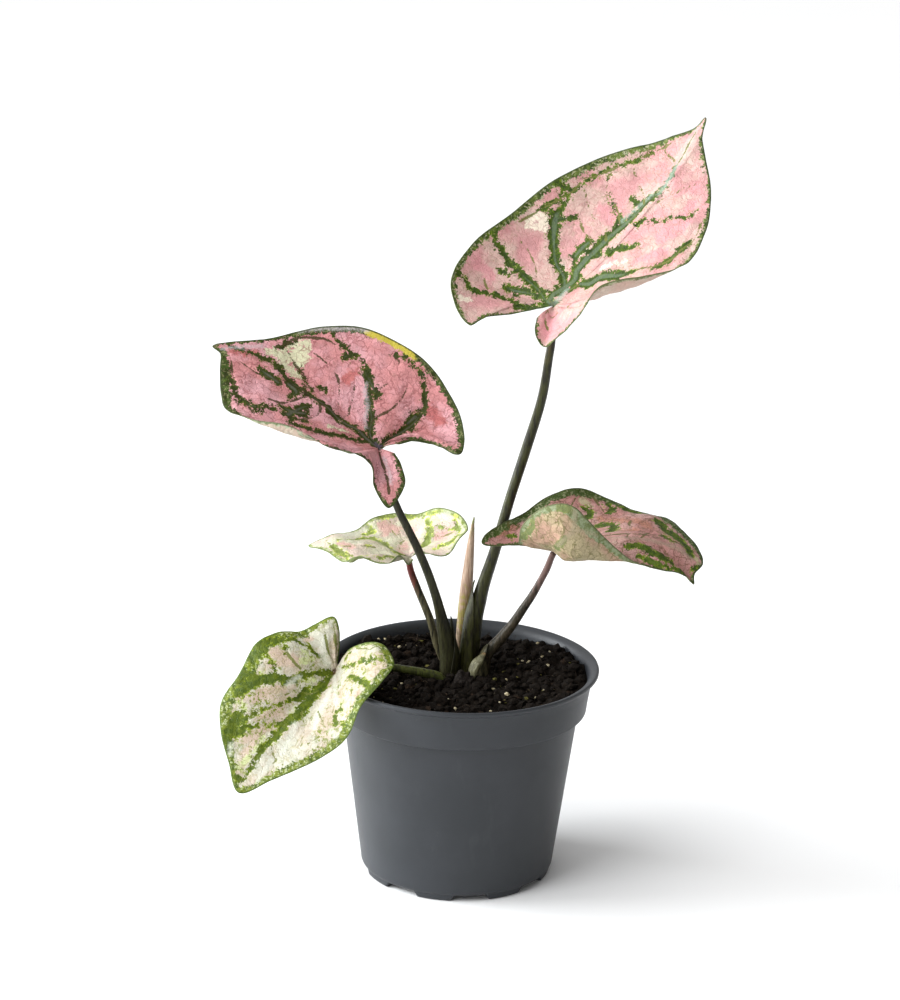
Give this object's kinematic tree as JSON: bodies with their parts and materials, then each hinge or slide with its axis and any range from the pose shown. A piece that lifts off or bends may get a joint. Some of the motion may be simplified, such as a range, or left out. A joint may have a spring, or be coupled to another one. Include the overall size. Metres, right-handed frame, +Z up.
{
  "type": "potted caladium",
  "caption": "Young caladium with heart-shaped pink and green leaves on arching stalks, rooted from a tuber in peat mix, in a round nursery pot with a deep collar and a footed, drained base",
  "frame": {"origin": "Centre of the pot's base, in the plane its feet stand on", "axes": "+Z up along the pot's axis; the side that faces -Y is the plant's best side; +X is to the right when looking along +Y; metres"},
  "size_m": [0.2119, 0.1223, 0.3293],
  "materials": {
    "pot": "moulded polypropylene, fine satin texture",
    "soil": "moist peat mix with perlite, bark and fibre",
    "tuber": "rough brown tuber skin and roots",
    "stalk": "smooth dark brown-green plant skin, faintly mottled",
    "new_leaf": "rolled young leaf, smooth, tan-pink with a green tip",
    "scale_leaf": "thin papery sheath",
    "blade_upper_left": "thin leaf skin, satin, pink between green veins",
    "blade_upper_right": "thin leaf skin, satin, pale pink between green veins",
    "blade_low_right": "thin leaf skin, satin, pink and green, pale underside",
    "blade_back_left": "thin leaf skin, satin, white and pale green",
    "blade_front_left": "thin leaf skin, satin, green veins and margin round white and pink"
  },
  "bodies": {
    "root": {"pot": "pot", "soil": "soil", "tuber": "tuber", "new_leaf": "new_leaf", "scale_leaf": "scale_leaf", "stalk_upper_left": "stalk", "stalk_upper_right": "stalk", "stalk_low_right": "stalk", "stalk_back_left": "stalk", "stalk_front_left": "stalk", "blade_upper_left": "blade_upper_left", "blade_upper_right": "blade_upper_right", "blade_low_right": "blade_low_right", "blade_back_left": "blade_back_left", "blade_front_left": "blade_front_left"}
  },
  "joints": []
}
